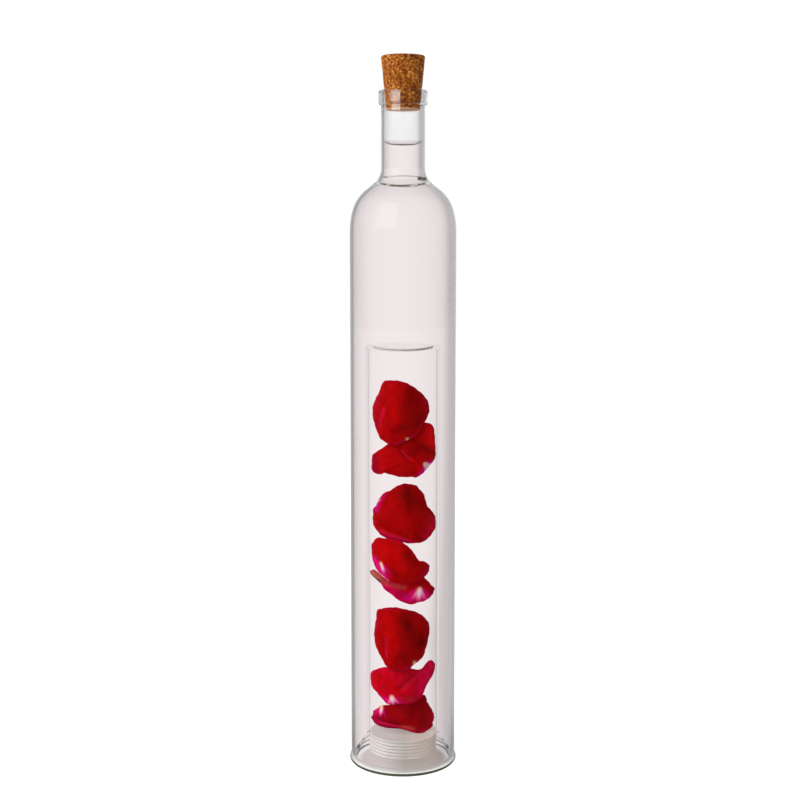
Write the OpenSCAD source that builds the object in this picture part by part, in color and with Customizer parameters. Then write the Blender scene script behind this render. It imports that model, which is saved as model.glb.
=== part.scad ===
// Double-walled gift bottle of blown glass with a tapered cork.
// A closed tube inside the bottle is open at the foot and holds rose petals, and
// the clear drink fills the space between that tube and the outer wall.
// Millimetres, +Z up along the bottle's axis, origin at the centre of the foot.

/* [Body] */
// Outer diameter of the straight body
body_od = 54; // [50:1:60]
// Wall of the body and its shoulder
body_wall = 1.6; // [1.2:0.1:2]
// Height of the straight body, from the table to the start of the shoulder
shoulder_z = 275; // [245:1:300]
// Height of the shoulder, from the straight body to the straight neck
shoulder_h = 32.5; // [28:0.5:42]
// How much thicker the glass is where the neck is welded to the shoulder
weld_bead = 1.1; // [0.4:0.1:1.6]

/* [Neck] */
// Outer diameter of the neck
neck_od = 22; // [20:0.5:26]
// Wall of the neck
neck_wall = 1.4; // [1.1:0.1:1.8]
// Length of the straight neck, from the shoulder to the mouth
neck_h = 39; // [30:1:55]
// How far the lip stands out from the neck
lip_out = 1.3; // [1.2:0.1:2.5]
// Height of the lip
lip_h = 7.5; // [5:0.5:12]

/* [Inner tube] */
// Width of the space between the body's wall and the inner tube
drink_gap = 6.4; // [5:0.1:8.5]
// Wall of the inner tube
tube_wall = 1.4; // [1.1:0.1:1.8]
// Thickness of the inner tube's closed top
tube_cap_t = 2; // [1.2:0.1:2.5]
// Height of the inner tube's top above the table
tube_top_z = 218.5; // [190:0.5:240]
// Height at which the inner tube starts to flare towards the foot
flare_z = 12.5; // [11:0.5:15]

/* [Foot] */
// How far the foot ring stands out from the body
foot_out = 0.8; // [0.4:0.1:1.5]
// Radius of the foot ring's rounded edge
foot_edge_r = 1.4; // [1:0.1:1.6]
// Width of the flat that the foot ring stands on
foot_flat_w = 1.6; // [1:0.1:2]

/* [Drink] */
// Height of the liquid's surface above the shoulder, at the bottle's axis
level_h = 12; // [6:0.5:14]
// How far the liquid climbs the neck's wall
meniscus_h = 1.8; // [0.8:0.1:2.4]

/* [Cork] */
// Height of the cork
cork_h = 27; // [22:0.5:36]
// How deep the cork sits in the neck
cork_in = 10; // [7:0.5:13]
// Angle between the cork's side and its axis
cork_taper = 5.1; // [3:0.1:6]

/* [Base plug] */
// Thickness of the ribbed plug that shuts the inner tube
plug_h = 10; // [8:0.5:12]
// Height of the plug's underside above the table
plug_z = 5; // [3:0.5:6]
// Distance from one rib of the plug to the next
rib_pitch = 1.7; // [1.2:0.1:2.5]

/* [Petals] */
// Thickness of a petal at its middle
petal_t = 0.55; // [0.4:0.05:0.8]
// Clearance between a petal and the glass or plug that it leans on
petal_gap = 0.3; // [0.2:0.05:0.4]

/* [Hidden] */

// Faces round the axis, and steps along a drawn curve or a rounded edge
$fn = 96;
curve_steps = 20;
edge_steps = 5;

// Main radii and heights that follow from the sizes above
body_r = body_od / 2;
body_bore_r = body_r - body_wall;
neck_r = neck_od / 2;
neck_bore_r = neck_r - neck_wall;
tube_r = body_bore_r - drink_gap;
tube_bore_r = tube_r - tube_wall;
neck_z = shoulder_z + shoulder_h;
mouth_z = neck_z + neck_h;
level_z = neck_z + level_h;
ceiling_z = tube_top_z - tube_cap_t;
plug_top_z = plug_z + plug_h;

// The shoulder's curve: how far each end runs on straight, and where the weld starts
shoulder_pull_share = 0.8;
neck_pull_share = 0.35;
weld_share = 0.6;
shoulder_curve = [
    [body_r, shoulder_z],
    [body_r, shoulder_z + shoulder_pull_share * shoulder_h],
    [neck_r, neck_z - neck_pull_share * shoulder_h],
    [neck_r, neck_z]
];

// The flare's middle line, from the foot ring up to the straight tube
flare_end_z = 3.2;
flare_wedge_w = 0.5;
flare_end_r = body_bore_r - tube_wall / 2 - flare_wedge_w;
flare_pull_share = 0.15;
flare_lie_shares = [0.15, 0.45];
tube_mid_r = tube_r - tube_wall / 2;
flare_w = flare_end_r - tube_mid_r;
flare_h = flare_z - flare_end_z;
flare_curve = [
    [flare_end_r, flare_end_z],
    [flare_end_r - flare_lie_shares[0] * flare_w, flare_end_z + flare_lie_shares[1] * flare_h],
    [tube_mid_r, flare_z - flare_pull_share * flare_h],
    [tube_mid_r, flare_z]
];

// Rounded edges
lip_edge_r = 1.1;
mouth_edge_r = 0.5;
tube_corner_r = 2.2;
tube_inner_corner_r = 1.2;
cork_worn_r = 0.9;
cork_foot_r = 0.5;
plug_edge_r = 0.4;
foot_edge_angle = 20;

// Clearances of the two pieces that come out, and the depth of the plug's grooves
cork_fit = 0.05;
plug_fit = 0.05;
rib_depth = 0.35;

// How far from the wall the liquid's climb fades
capillary_l = 1.8;
meniscus_steps = 14;

// Petals: rings from the middle to the rim, points between two outline points,
// how much thinner the rim is, and how far the rim falls back from the middle
petal_rings = 4;
petal_steps = 2;
rim_thin_share = 0.4;
cup_share = 0.08;
petal_reach = tube_bore_r - petal_gap - petal_t / 2;
petal_room = ceiling_z - plug_top_z;

// A cubic curve through four control points, and the same curve moved sideways.
// A curve that runs upwards moves away from the bottle's axis.
function curve_at(c, t) =
    pow(1 - t, 3) * c[0] + 3 * pow(1 - t, 2) * t * c[1]
    + 3 * (1 - t) * pow(t, 2) * c[2] + pow(t, 3) * c[3];
function run_at(c, t) =
    pow(1 - t, 2) * (c[1] - c[0]) + 2 * (1 - t) * t * (c[2] - c[1]) + pow(t, 2) * (c[3] - c[2]);
function beside(c, t, off) =
    let (run = run_at(c, t)) curve_at(c, t) + off * [run[1], -run[0]] / norm(run);

// Points of an arc round a centre, from one angle to another
function arc(centre, r, from, to) =
    [for (i = [0:edge_steps]) let (a = from + (to - from) * i / edge_steps)
        centre + r * [cos(a), sin(a)]];

function reversed(list) = [for (i = [len(list) - 1:-1:0]) list[i]];

// The shoulder's wall: it thins towards the neck and thickens at the weld
function weld_swell(t) =
    t < weld_share ? 0 : weld_bead * pow(sin(180 * (t - weld_share) / (1 - weld_share)), 2);
function shoulder_wall(t) = body_wall + (neck_wall - body_wall) * t + weld_swell(t);
function shoulder_outside(from, to) =
    [for (i = [0:curve_steps]) beside(shoulder_curve, from + (to - from) * i / curve_steps, 0)];
function shoulder_inside(from, to) =
    [for (i = [0:curve_steps]) let (t = from + (to - from) * i / curve_steps)
        beside(shoulder_curve, t, -shoulder_wall(t))];

// The flare's two faces, from the foot ring up
function flare_face(off) =
    [for (i = [0:curve_steps]) beside(flare_curve, i / curve_steps, off)];
flare_wet_end = beside(flare_curve, 0, tube_wall / 2);
flare_dry_end = beside(flare_curve, 0, -tube_wall / 2);

// The inner tube's outside, from the foot ring up to the axis
tube_outside = concat(
    flare_face(tube_wall / 2),
    arc([tube_r - tube_corner_r, tube_top_z - tube_corner_r], tube_corner_r, 0, 90),
    [[0, tube_top_z]]
);

module turned(profile) {
    rotate_extrude()
        polygon(profile);
}

module outer_body() {
    color([0.86, 0.9, 0.9, 0.35])
        turned(concat(
            [[body_r, flare_wet_end[1]]],
            shoulder_outside(0, weld_share),
            reversed(shoulder_inside(0, weld_share)),
            [[body_bore_r, flare_wet_end[1]]]
        ));
}

module weld_ring() {
    color([0.7, 0.76, 0.75, 0.6])
        turned(concat(
            shoulder_outside(weld_share, 1),
            reversed(shoulder_inside(weld_share, 1))
        ));
}

module neck_tube() {
    color([0.86, 0.9, 0.9, 0.35])
        turned(concat(
            [[neck_bore_r, neck_z], [neck_r, neck_z], [neck_r, mouth_z]],
            arc([neck_bore_r + mouth_edge_r, mouth_z - mouth_edge_r], mouth_edge_r, 90, 180)
        ));
}

module lip_ring() {
    low_z = mouth_z - lip_h;
    edge_r = neck_r + lip_out - lip_edge_r;
    color([0.78, 0.83, 0.82, 0.5])
        turned(concat(
            [[neck_r, low_z]],
            arc([edge_r, low_z + lip_edge_r], lip_edge_r, -90, 0),
            arc([edge_r, mouth_z - lip_edge_r], lip_edge_r, 0, 90),
            [[neck_r, mouth_z]]
        ));
}

module inner_tube() {
    corner = [tube_bore_r - tube_inner_corner_r, ceiling_z - tube_inner_corner_r];
    color([0.82, 0.88, 0.87, 0.35])
        turned(concat(
            tube_outside,
            [[0, ceiling_z]],
            arc(corner, tube_inner_corner_r, 90, 0),
            reversed(flare_face(-tube_wall / 2))
        ));
}

module foot_ring() {
    edge = [body_r + foot_out - foot_edge_r, foot_edge_r];
    color([0.42, 0.5, 0.42, 0.8])
        turned(concat(
            [[body_r, flare_wet_end[1]]],
            arc(edge, foot_edge_r, foot_edge_angle, -90),
            [[edge[0] - foot_flat_w, 0], flare_dry_end, flare_wet_end]
        ));
}

module liquid_fill() {
    surface = [
        for (i = [0:meniscus_steps]) let (r = neck_bore_r * (1 - pow(i / meniscus_steps, 2)))
            [r, level_z + meniscus_h * exp((r - neck_bore_r) / capillary_l)]
    ];
    color([0.97, 0.88, 0.88, 0.4])
        turned(concat(
            [[body_bore_r, flare_wet_end[1]]],
            shoulder_inside(0, weld_share),
            shoulder_inside(weld_share, 1),
            surface,
            reversed(tube_outside)
        ));
}

module cork_stopper() {
    mouth_r = neck_bore_r - cork_fit;
    low_z = mouth_z - cork_in;
    top_z = low_z + cork_h;
    low_r = mouth_r - cork_in * tan(cork_taper);
    top_r = low_r + cork_h * tan(cork_taper);
    color([0.68, 0.45, 0.24])
        turned(concat(
            [[0, low_z]],
            arc([low_r - cork_foot_r, low_z + cork_foot_r], cork_foot_r, -90, -cork_taper),
            arc([top_r - cork_worn_r, top_z - cork_worn_r], cork_worn_r, -cork_taper, 90),
            [[0, top_z]]
        ));
}

module base_plug() {
    crest_r = tube_bore_r - plug_fit;
    ribs = floor((plug_h - 2 * plug_edge_r) / rib_pitch);
    ribs_low_z = plug_z + (plug_h - ribs * rib_pitch) / 2;
    color([0.74, 0.7, 0.66])
        turned(concat(
            [[0, plug_z], [crest_r - plug_edge_r, plug_z], [crest_r, plug_z + plug_edge_r]],
            [for (i = [0:ribs - 1], k = [0, 1])
                [crest_r - k * rib_depth, ribs_low_z + (i + k / 2) * rib_pitch]],
            [
                [crest_r, plug_top_z - plug_edge_r],
                [crest_r - plug_edge_r, plug_top_z],
                [0, plug_top_z]
            ]
        ));
}

// A smooth closed line through a list of points
function smooth_at(p, i, t) =
    let (n = len(p), a = p[(i + n - 1) % n], b = p[i], c = p[(i + 1) % n], d = p[(i + 2) % n])
    b + t * (c - a) / 2 + t * t * (2 * a - 5 * b + 4 * c - d) / 2
    + t * t * t * (3 * (b - c) + d - a) / 2;
function smoothed(p) =
    [for (i = [0:len(p) - 1], k = [0:petal_steps - 1]) smooth_at(p, i, k / petal_steps)];

// A petal is a thin leaf that bends round the inside of the tube, towards -Y.
// Its outline is drawn as seen from the front, in shares of its own half width and
// half height. The wrap share is 1 where the leaf follows the wall all the way and
// 0 where it spans the tube flat.
module petal(outline_shares, middle_shares, half_shares, place_shares, wrap_share) {
    half = [half_shares[0] * petal_reach, half_shares[1] * petal_room];
    place = [place_shares[0] * petal_reach, plug_top_z + place_shares[1] * petal_room];
    rim = smoothed(outline_shares);
    sides = len(rim);

    // A point of the front or back face: its place on the leaf's middle layer, and the normal there
    function leaf(share, out, side) =
        let (
            p = place + [share[0] * half[0], share[1] * half[1]],
            x = max(-petal_reach, min(petal_reach, p[0])),
            depth = sqrt(petal_reach * petal_reach - x * x),
            w = wrap_share - cup_share * out * out,
            n = [w * x, -depth] / norm([w * x, depth]),
            t = side * petal_t / 2 * (1 - rim_thin_share * out * out)
        )
        [x + t * n[0], -w * depth + t * n[1], p[1]];

    function layer(side) = concat(
        [leaf(middle_shares, 0, side)],
        [for (ring = [1:petal_rings], point = rim)
            let (out = ring / petal_rings)
            leaf(middle_shares + out * (point - middle_shares), out, side)]
    );
    function at(ring, i) = ring == 0 ? 0 : 1 + (ring - 1) * sides + i % sides;
    back = 1 + petal_rings * sides;
    last = petal_rings;

    polyhedron(
        points = concat(layer(1), layer(-1)),
        faces = concat(
            [for (i = [0:sides - 1]) [at(0, 0), at(1, i), at(1, i + 1)]],
            [for (i = [0:sides - 1]) [back, back + at(1, i + 1), back + at(1, i)]],
            [for (ring = [1:last - 1], i = [0:sides - 1], tri = [
                [at(ring, i), at(ring + 1, i), at(ring + 1, i + 1)],
                [at(ring, i), at(ring + 1, i + 1), at(ring, i + 1)],
                [back + at(ring, i), back + at(ring + 1, i + 1), back + at(ring + 1, i)],
                [back + at(ring, i), back + at(ring, i + 1), back + at(ring + 1, i + 1)]
            ]) tri],
            [for (i = [0:sides - 1], tri = [
                [at(last, i), back + at(last, i), back + at(last, i + 1)],
                [at(last, i), back + at(last, i + 1), at(last, i + 1)]
            ]) tri]
        )
    );
}

module rose_petal_1() {
    outline_shares = [
        [-0.61, 0.95], [-0.3, 1], [0.05, 0.97], [0.33, 0.86], [0.61, 0.68], [0.82, 0.5],
        [0.96, 0.29], [1, 0.08], [0.96, -0.1], [0.84, -0.3], [0.64, -0.57], [0.47, -0.73],
        [0.23, -0.82], [0.02, -0.92], [-0.19, -1], [-0.4, -0.98], [-0.71, -0.82], [-0.84, -0.61],
        [-0.94, -0.37], [-1, -0.13], [-0.99, 0.14], [-0.91, 0.35], [-0.78, 0.59]
    ];
    color([0.62, 0.02, 0.07])
        petal(outline_shares, middle_shares = [0, 0], half_shares = [0.84, 0.0827],
              place_shares = [-0.06, 0.8447], wrap_share = 1);
}

module rose_petal_2() {
    outline_shares = [
        [0.65, 1], [0.78, 0.98], [0.9, 0.86], [0.96, 0.64], [0.98, 0.31], [1, -0.05], [1, -0.3],
        [0.94, -0.45], [0.76, -0.66], [0.61, -0.85], [0.41, -1], [0.21, -0.98], [-0.09, -0.98],
        [-0.34, -0.92], [-0.61, -0.85], [-0.83, -0.92], [-0.96, -0.84], [-1, -0.63],
        [-0.95, -0.21], [-0.73, 0], [-0.49, 0.22], [-0.18, 0.46], [0.21, 0.67], [0.46, 0.85]
    ];
    color([0.6, 0.02, 0.06])
        petal(outline_shares, middle_shares = [0.2, -0.2], half_shares = [0.965, 0.0696],
              place_shares = [0.015, 0.7464], wrap_share = 0.7);
}

module rose_petal_3() {
    outline_shares = [
        [0, 1], [0.19, 0.98], [0.37, 0.92], [0.5, 0.77], [0.62, 0.59], [0.67, 0.39], [0.73, 0.19],
        [0.87, 0], [0.98, -0.24], [1, -0.43], [0.98, -0.63], [0.84, -0.8], [0.65, -0.96],
        [0.43, -1], [0.09, -0.99], [-0.22, -0.93], [-0.53, -0.86], [-0.78, -0.73], [-0.96, -0.5],
        [-1, -0.3], [-0.98, -0.1], [-1, 0.03], [-0.9, 0.19], [-0.81, 0.42], [-0.65, 0.65],
        [-0.4, 0.79], [-0.22, 0.93]
    ];
    color([0.58, 0.01, 0.05])
        petal(outline_shares, middle_shares = [0, -0.1], half_shares = [0.955, 0.077],
              place_shares = [0.04, 0.587], wrap_share = 0.85);
}

module rose_petal_4() {
    outline_shares = [
        [-0.72, 1], [-0.38, 0.98], [-0.04, 0.92], [0.23, 0.7], [0.37, 0.51], [0.51, 0.24],
        [0.64, -0.01], [0.78, -0.05], [0.93, -0.21], [1, -0.39], [0.93, -0.66], [0.74, -0.86],
        [0.44, -0.98], [0.06, -1], [-0.31, -0.98], [-0.58, -0.75], [-0.77, -0.57], [-0.89, -0.35],
        [-0.97, -0.07], [-0.99, 0.2], [-1, 0.51], [-0.89, 0.83]
    ];
    color([0.64, 0.02, 0.06])
        petal(outline_shares, middle_shares = [-0.1, -0.1], half_shares = [0.875, 0.0569],
              place_shares = [-0.072, 0.4675], wrap_share = 1);
}

module rose_petal_5() {
    outline_shares = [
        [-1, 0.85], [-0.9, 1], [-0.8, 0.94], [-0.65, 0.64], [-0.54, 0.42], [-0.33, 0.42],
        [0.01, 0.55], [0.34, 0.61], [0.61, 0.64], [0.79, 0.38], [0.91, 0.08], [1, -0.13],
        [0.99, -0.36], [0.85, -0.69], [0.67, -0.84], [0.49, -0.9], [0.31, -1], [0.07, -0.9],
        [-0.15, -0.69], [-0.33, -0.39], [-0.54, -0.13], [-0.65, 0.17], [-0.74, 0.32],
        [-0.87, 0.53], [-0.98, 0.7]
    ];
    color([0.62, 0.03, 0.12])
        petal(outline_shares, middle_shares = [-0.2, 0.1], half_shares = [0.975, 0.0437],
              place_shares = [-0.023, 0.3876], wrap_share = 0.5);
}

module rose_petal_6() {
    outline_shares = [
        [-0.87, 0.84], [-0.52, 0.97], [-0.2, 1], [0.16, 0.94], [0.52, 0.83], [0.77, 0.67],
        [0.93, 0.48], [1, 0.26], [0.95, -0.06], [0.85, -0.37], [0.73, -0.61], [0.44, -0.78],
        [0.24, -0.92], [-0.08, -1], [-0.36, -0.96], [-0.56, -0.85], [-0.77, -0.57],
        [-0.93, -0.33], [-1, -0.02], [-0.98, 0.26], [-0.93, 0.53]
    ];
    color([0.62, 0.02, 0.07])
        petal(outline_shares, middle_shares = [0, 0], half_shares = [0.838, 0.0843],
              place_shares = [-0.033, 0.264], wrap_share = 1);
}

module rose_petal_7() {
    outline_shares = [
        [-0.47, 0.77], [-0.09, 0.84], [0.25, 0.74], [0.45, 0.65], [0.58, 0.66], [0.72, 0.9],
        [0.82, 1], [0.92, 0.92], [1, 0.71], [0.97, 0.35], [0.75, -0.12], [0.65, -0.44],
        [0.55, -0.75], [0.25, -0.91], [-0.09, -0.93], [-0.36, -1], [-0.52, -0.91], [-0.66, -0.7],
        [-0.79, -0.51], [-0.96, -0.28], [-1, 0.09], [-0.96, 0.35], [-0.76, 0.61]
    ];
    color([0.66, 0.03, 0.09])
        petal(outline_shares, middle_shares = [0.2, -0.1], half_shares = [0.985, 0.0566],
              place_shares = [-0.012, 0.1407], wrap_share = 0.75);
}

module rose_petal_8() {
    outline_shares = [
        [-0.63, 0.45], [-0.38, 0.5], [-0.1, 0.65], [0.2, 0.85], [0.5, 0.98], [0.7, 0.96],
        [0.78, 0.59], [0.92, 0.13], [1, -0.28], [0.96, -0.57], [0.92, -0.81], [0.64, -1],
        [0.46, -1], [0.18, -0.88], [-0.1, -0.75], [-0.45, -0.75], [-0.74, -0.69], [-0.93, -0.52],
        [-1, -0.34], [-0.95, -0.17], [-0.93, 0.04], [-0.74, 0.33]
    ];
    color([0.6, 0.02, 0.06])
        petal(outline_shares, middle_shares = [0.1, -0.1], half_shares = [0.965, 0.0505],
              place_shares = [-0.006, 0.0545], wrap_share = 0.55);
}

outer_body();
weld_ring();
neck_tube();
lip_ring();
inner_tube();
foot_ring();
liquid_fill();
cork_stopper();
base_plug();
rose_petal_1();
rose_petal_2();
rose_petal_3();
rose_petal_4();
rose_petal_5();
rose_petal_6();
rose_petal_7();
rose_petal_8();
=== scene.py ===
"""A double-walled gift bottle of clear glass: cork, clear drink, and rose petals in its inner tube."""
import math

import bpy
import numpy as np
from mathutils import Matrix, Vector, noise as noise_of


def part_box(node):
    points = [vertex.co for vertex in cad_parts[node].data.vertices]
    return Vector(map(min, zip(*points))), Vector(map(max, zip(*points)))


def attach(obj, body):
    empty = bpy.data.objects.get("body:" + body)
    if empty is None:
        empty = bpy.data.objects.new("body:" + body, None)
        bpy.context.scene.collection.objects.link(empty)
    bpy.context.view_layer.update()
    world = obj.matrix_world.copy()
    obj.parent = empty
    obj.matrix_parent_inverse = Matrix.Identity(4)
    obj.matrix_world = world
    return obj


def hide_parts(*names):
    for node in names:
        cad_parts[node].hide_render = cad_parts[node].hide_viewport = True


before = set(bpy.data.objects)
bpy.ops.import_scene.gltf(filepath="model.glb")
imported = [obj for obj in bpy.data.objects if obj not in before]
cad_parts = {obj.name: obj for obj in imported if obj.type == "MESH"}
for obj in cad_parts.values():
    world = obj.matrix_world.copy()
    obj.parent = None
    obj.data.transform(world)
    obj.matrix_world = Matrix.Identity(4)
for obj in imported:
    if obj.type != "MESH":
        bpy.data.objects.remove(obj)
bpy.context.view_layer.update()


# Sizes in metres. Radii and heights come from the frame where a node's box gives them.
MM = 0.001
BODY_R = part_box("outer_body")[1].x
BODY_BORE_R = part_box("liquid_fill")[1].x
BODY_WALL = BODY_R - BODY_BORE_R
BODY_LOW_Z = 3.75 * MM
NECK_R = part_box("neck_tube")[1].x
NECK_WALL = 1.4 * MM
NECK_BORE_R = NECK_R - NECK_WALL
NECK_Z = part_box("neck_tube")[0].z
MOUTH_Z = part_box("neck_tube")[1].z
MOUTH_EDGE_R = 0.5 * MM
LIP_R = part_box("lip_ring")[1].x
LIP_LOW_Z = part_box("lip_ring")[0].z
LIP_EDGE_R = 1.1 * MM
CORK_LOW_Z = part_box("cork_stopper")[0].z
# The clear rim's material goes down the neck to just below the cork
LIP_GLASS_LOW_Z = CORK_LOW_Z - 0.5 * MM
PLUG_FIT = 0.05 * MM
TUBE_BORE_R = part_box("base_plug")[1].x + PLUG_FIT
TUBE_WALL = 1.4 * MM
TUBE_R = TUBE_BORE_R + TUBE_WALL
TUBE_TOP_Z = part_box("inner_tube")[1].z
TUBE_CAP_T = 2 * MM
CEILING_Z = TUBE_TOP_Z - TUBE_CAP_T
TUBE_CORNER_R = 2.2 * MM
TUBE_INNER_CORNER_R = 1.2 * MM
TUBE_END_H = 2 * MM
FOOT_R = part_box("foot_ring")[1].x
FOOT_EDGE_R = 1.4 * MM
FOOT_FLAT_W = 1.6 * MM
FOOT_EDGE_ANGLES = (-90, 10)
FOOT_RIM_ANGLES = (17, 30)
FOOT_FILLET_OUT = 0.12 * MM
FOOT_FILLET_Z = 2.6 * MM
BODY_STRAIGHT_Z = 8 * MM
SHOULDER_H = 32.5 * MM
SHOULDER_Z = NECK_Z - SHOULDER_H
SHOULDER_PULL_SHARE = 0.8
NECK_PULL_SHARE = 0.35
WELD_SHARE = 0.6
WELD_BEAD = 0.45 * MM
FLARE_Z = 12.5 * MM
FLARE_END_Z = 3.2 * MM
FLARE_WEDGE_W = 0.5 * MM
FLARE_PULL_SHARE = 0.15
FLARE_LIE_SHARES = (0.15, 0.45)
LEVEL_RIM_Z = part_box("liquid_fill")[1].z
MENISCUS_H = 2.1 * MM
LEVEL_Z = LEVEL_RIM_Z - MENISCUS_H
CAPILLARY_L = 1.8 * MM
DRINK_INSET = 0.02 * MM

# Steps along curves and round the axis
ROUND_STEPS = 144
CURVE_STEPS = 32
FLARE_STEPS = 16
SURFACE_STEPS = 24
ON_AXIS_R = 1e-9
LONG_SPAN = 1.2 * MM
SUPPORT_OFFS = (0.1 * MM, 0.3 * MM)


# Meshes

def mesh_piece(name, points, faces, slots, face_slots=None, smooth=True):
    """A mesh object from points and faces, with its materials."""
    mesh = bpy.data.meshes.new(name)
    mesh.from_pydata([tuple(p) for p in points], [], faces)
    for material in slots:
        mesh.materials.append(material)
    if face_slots is not None:
        mesh.polygons.foreach_set("material_index", face_slots)
    mesh.polygons.foreach_set("use_smooth", [smooth] * len(mesh.polygons))
    mesh.validate()
    mesh.update()
    piece = bpy.data.objects.new(name, mesh)
    bpy.context.scene.collection.objects.link(piece)
    return piece


def turned(name, profile, slots, span_slots=None, closed=True, steps=ROUND_STEPS):
    """Turns a profile of (radius, height) points about the Z axis. span_slots gives each span's slot."""
    rings = []
    points = []
    for r, z in profile:
        if r < ON_AXIS_R:
            rings.append([len(points)])
            points.append((0.0, 0.0, z))
        else:
            rings.append(list(range(len(points), len(points) + steps)))
            turns = [2 * math.pi * k / steps for k in range(steps)]
            points += [(r * math.cos(turn), r * math.sin(turn), z) for turn in turns]
    faces = []
    face_slots = []
    spans = len(profile) if closed else len(profile) - 1
    for i in range(spans):
        low, high = rings[i], rings[(i + 1) % len(profile)]
        if len(low) == 1 and len(high) == 1:
            continue
        for k in range(steps):
            n = (k + 1) % steps
            if len(low) == 1:
                faces.append((low[0], high[n], high[k]))
            elif len(high) == 1:
                faces.append((low[k], low[n], high[0]))
            else:
                faces.append((low[k], low[n], high[n], high[k]))
            face_slots.append(0 if span_slots is None else span_slots[i])
    return mesh_piece(name, points, faces, slots, face_slots)


def part_way(a, b, share):
    """The point at a share of the way from a to b."""
    return (a[0] + (b[0] - a[0]) * share, a[1] + (b[1] - a[1]) * share)


def supported(profile, span_slots):
    """Adds points close to both ends of long straight spans, so that smooth shading keeps them straight."""
    points, slots = [], []
    for i, (a, slot) in enumerate(zip(profile, span_slots)):
        b = profile[(i + 1) % len(profile)]
        length = math.dist(a, b)
        offs = [0.0]
        if length > LONG_SPAN and max(a[0], b[0]) >= ON_AXIS_R:
            offs += [*SUPPORT_OFFS, *(length - off for off in reversed(SUPPORT_OFFS))]
        points += [part_way(a, b, off / length) for off in offs]
        slots += [slot] * len(offs)
    return points, slots


def arc(centre, r, start, end, steps=8):
    """Points of an arc round a centre, from one angle in degrees to another."""
    angles = [math.radians(start + (end - start) * i / steps) for i in range(steps + 1)]
    return [(centre[0] + r * math.cos(a), centre[1] + r * math.sin(a)) for a in angles]


def curve_at(c, t):
    """A point of a cubic curve and the curve's direction there."""
    c = np.array(c)
    at = (1 - t) ** 3 * c[0] + 3 * (1 - t) ** 2 * t * c[1] + 3 * (1 - t) * t * t * c[2] + t ** 3 * c[3]
    run = (1 - t) ** 2 * (c[1] - c[0]) + 2 * (1 - t) * t * (c[2] - c[1]) + t * t * (c[3] - c[2])
    return at, run / np.linalg.norm(run)


def beside(c, t, off):
    """A point at a distance to the right of a cubic curve."""
    at, run = curve_at(c, t)
    return (at[0] + off * run[1], at[1] - off * run[0])


# The glass's outlines

shoulder_curve = [
    (BODY_R, SHOULDER_Z),
    (BODY_R, SHOULDER_Z + SHOULDER_PULL_SHARE * SHOULDER_H),
    (NECK_R, NECK_Z - NECK_PULL_SHARE * SHOULDER_H),
    (NECK_R, NECK_Z),
]
flare_end_r = BODY_BORE_R - TUBE_WALL / 2 - FLARE_WEDGE_W
tube_mid_r = TUBE_R - TUBE_WALL / 2
flare_w = flare_end_r - tube_mid_r
flare_h = FLARE_Z - FLARE_END_Z
flare_curve = [
    (flare_end_r, FLARE_END_Z),
    (flare_end_r - FLARE_LIE_SHARES[0] * flare_w, FLARE_END_Z + FLARE_LIE_SHARES[1] * flare_h),
    (tube_mid_r, FLARE_Z - FLARE_PULL_SHARE * flare_h),
    (tube_mid_r, FLARE_Z),
]
tube_corner_at = (TUBE_R - TUBE_CORNER_R, TUBE_TOP_Z - TUBE_CORNER_R)


def shoulder_wall(t):
    swell = 0.0
    if t > WELD_SHARE:
        swell = WELD_BEAD * math.sin(math.pi * (t - WELD_SHARE) / (1 - WELD_SHARE)) ** 2
    return BODY_WALL + (NECK_WALL - BODY_WALL) * t + swell


def shoulder_outside():
    return [beside(shoulder_curve, i / CURVE_STEPS, 0) for i in range(CURVE_STEPS + 1)]


def shoulder_inside():
    shares = [i / CURVE_STEPS for i in range(CURVE_STEPS + 1)]
    return [beside(shoulder_curve, t, -shoulder_wall(t)) for t in shares]


def flare_face(off):
    return [beside(flare_curve, i / FLARE_STEPS, off) for i in range(FLARE_STEPS + 1)]


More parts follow.
